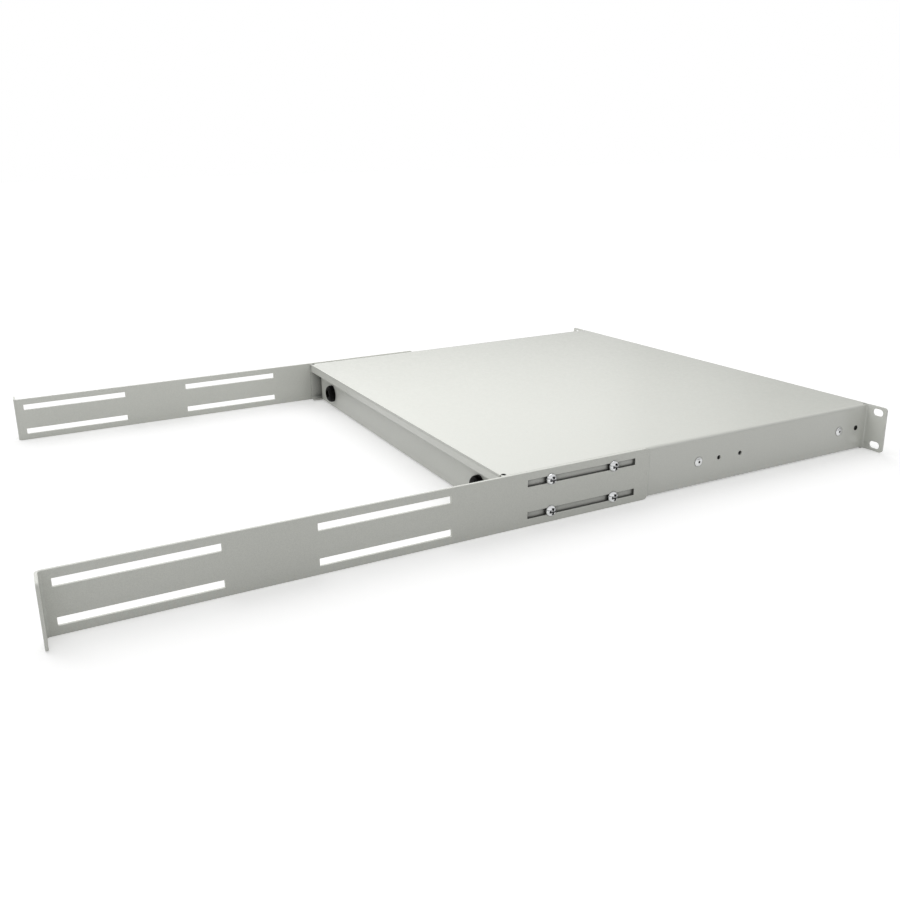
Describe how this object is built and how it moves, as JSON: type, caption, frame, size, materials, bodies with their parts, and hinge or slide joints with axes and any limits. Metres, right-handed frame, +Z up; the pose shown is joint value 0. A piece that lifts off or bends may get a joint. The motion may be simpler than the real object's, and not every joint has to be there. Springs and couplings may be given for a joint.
{
  "type": "rack keyboard drawer",
  "caption": "Low sheet-metal rack drawer for a keyboard, with ear flanges, a sliding tray behind a flush front, cable grommets and slotted depth-setting rear brackets.",
  "frame": {"origin": "centre of the front hole pattern, on the rear faces of the rack ears, where they meet the rack posts", "axes": "+X to the right seen from the front, +Y to the rear along the drawer's travel, +Z up"},
  "size_m": [0.4826, 0.7445, 0.0444],
  "materials": {
    "housing_paint": "light grey powder coat, semi-gloss, fine orange peel",
    "tray_paint": "light grey powder coat, semi-gloss",
    "front_paint": "light grey powder coat, semi-gloss",
    "bracket_paint": "light grey powder coat, satin",
    "slide_zinc": "bright zinc plating, drawn along the slide",
    "cage_steel": "thin spring strip, zinc plated",
    "ball_steel": "ground and polished, lightly greased",
    "screw_nickel": "bright nickel plating",
    "nut_zinc": "bright zinc plating",
    "rivet_metal": "bright, set with a faint ring",
    "grommet_rubber": "smooth black moulding with a soft sheen",
    "bumper_plastic": "matte black moulding"
  },
  "bodies": {
    "housing": {"housing_shell": "housing_paint", "left_slide_outer": "slide_zinc", "right_slide_outer": "slide_zinc", "left_slide_rivets": "rivet_metal", "right_slide_rivets": "rivet_metal", "left_slide_bumper": "bumper_plastic", "right_slide_bumper": "bumper_plastic", "left_clinch_nuts": "nut_zinc", "right_clinch_nuts": "nut_zinc", "left_bracket_screws": "screw_nickel", "right_bracket_screws": "screw_nickel"},
    "left_bracket": {"left_rear_bracket": "bracket_paint"},
    "right_bracket": {"right_rear_bracket": "bracket_paint"},
    "left_middle": {"left_slide_middle": "slide_zinc"},
    "right_middle": {"right_slide_middle": "slide_zinc"},
    "left_outer_rollers": {"left_outer_cage": "cage_steel", "left_outer_balls": "ball_steel"},
    "right_outer_rollers": {"right_outer_cage": "cage_steel", "right_outer_balls": "ball_steel"},
    "left_inner_rollers": {"left_inner_cage": "cage_steel", "left_inner_balls": "ball_steel"},
    "right_inner_rollers": {"right_inner_cage": "cage_steel", "right_inner_balls": "ball_steel"},
    "drawer": {"drawer_tray": "tray_paint", "drawer_front": "front_paint", "front_nuts": "nut_zinc", "left_slide_inner": "slide_zinc", "right_slide_inner": "slide_zinc", "left_tray_screws": "nut_zinc", "right_tray_screws": "nut_zinc", "left_tray_nuts": "nut_zinc", "right_tray_nuts": "nut_zinc", "left_cable_grommet": "grommet_rubber", "right_cable_grommet": "grommet_rubber"}
  },
  "joints": [
    {"name": "drawer_slide", "type": "slide", "parent": "housing", "child": "drawer", "axis": [0, -1, 0], "range_m": [0, 0.25]},
    {"name": "left_middle_slide", "type": "slide", "parent": "housing", "child": "left_middle", "axis": [0, -1, 0], "range_m": [0, 0.125]},
    {"name": "right_middle_slide", "type": "slide", "parent": "housing", "child": "right_middle", "axis": [0, -1, 0], "range_m": [0, 0.125]},
    {"name": "left_outer_roll", "type": "slide", "parent": "housing", "child": "left_outer_rollers", "axis": [0, -1, 0], "range_m": [0, 0.0625]},
    {"name": "right_outer_roll", "type": "slide", "parent": "housing", "child": "right_outer_rollers", "axis": [0, -1, 0], "range_m": [0, 0.0625]},
    {"name": "left_inner_roll", "type": "slide", "parent": "housing", "child": "left_inner_rollers", "axis": [0, -1, 0], "range_m": [0, 0.1875]},
    {"name": "right_inner_roll", "type": "slide", "parent": "housing", "child": "right_inner_rollers", "axis": [0, -1, 0], "range_m": [0, 0.1875]},
    {"name": "left_bracket_set", "type": "slide", "parent": "housing", "child": "left_bracket", "axis": [0, 1, 0], "range_m": [-0.018, 0.018]},
    {"name": "right_bracket_set", "type": "slide", "parent": "housing", "child": "right_bracket", "axis": [0, 1, 0], "range_m": [-0.018, 0.018]}
  ],
  "couplings": [
    {"joint": "left_middle_slide", "follows": "drawer_slide", "ratio": 0.5},
    {"joint": "right_middle_slide", "follows": "drawer_slide", "ratio": 0.5},
    {"joint": "left_outer_roll", "follows": "drawer_slide", "ratio": 0.25},
    {"joint": "right_outer_roll", "follows": "drawer_slide", "ratio": 0.25},
    {"joint": "left_inner_roll", "follows": "drawer_slide", "ratio": 0.75},
    {"joint": "right_inner_roll", "follows": "drawer_slide", "ratio": 0.75}
  ]
}
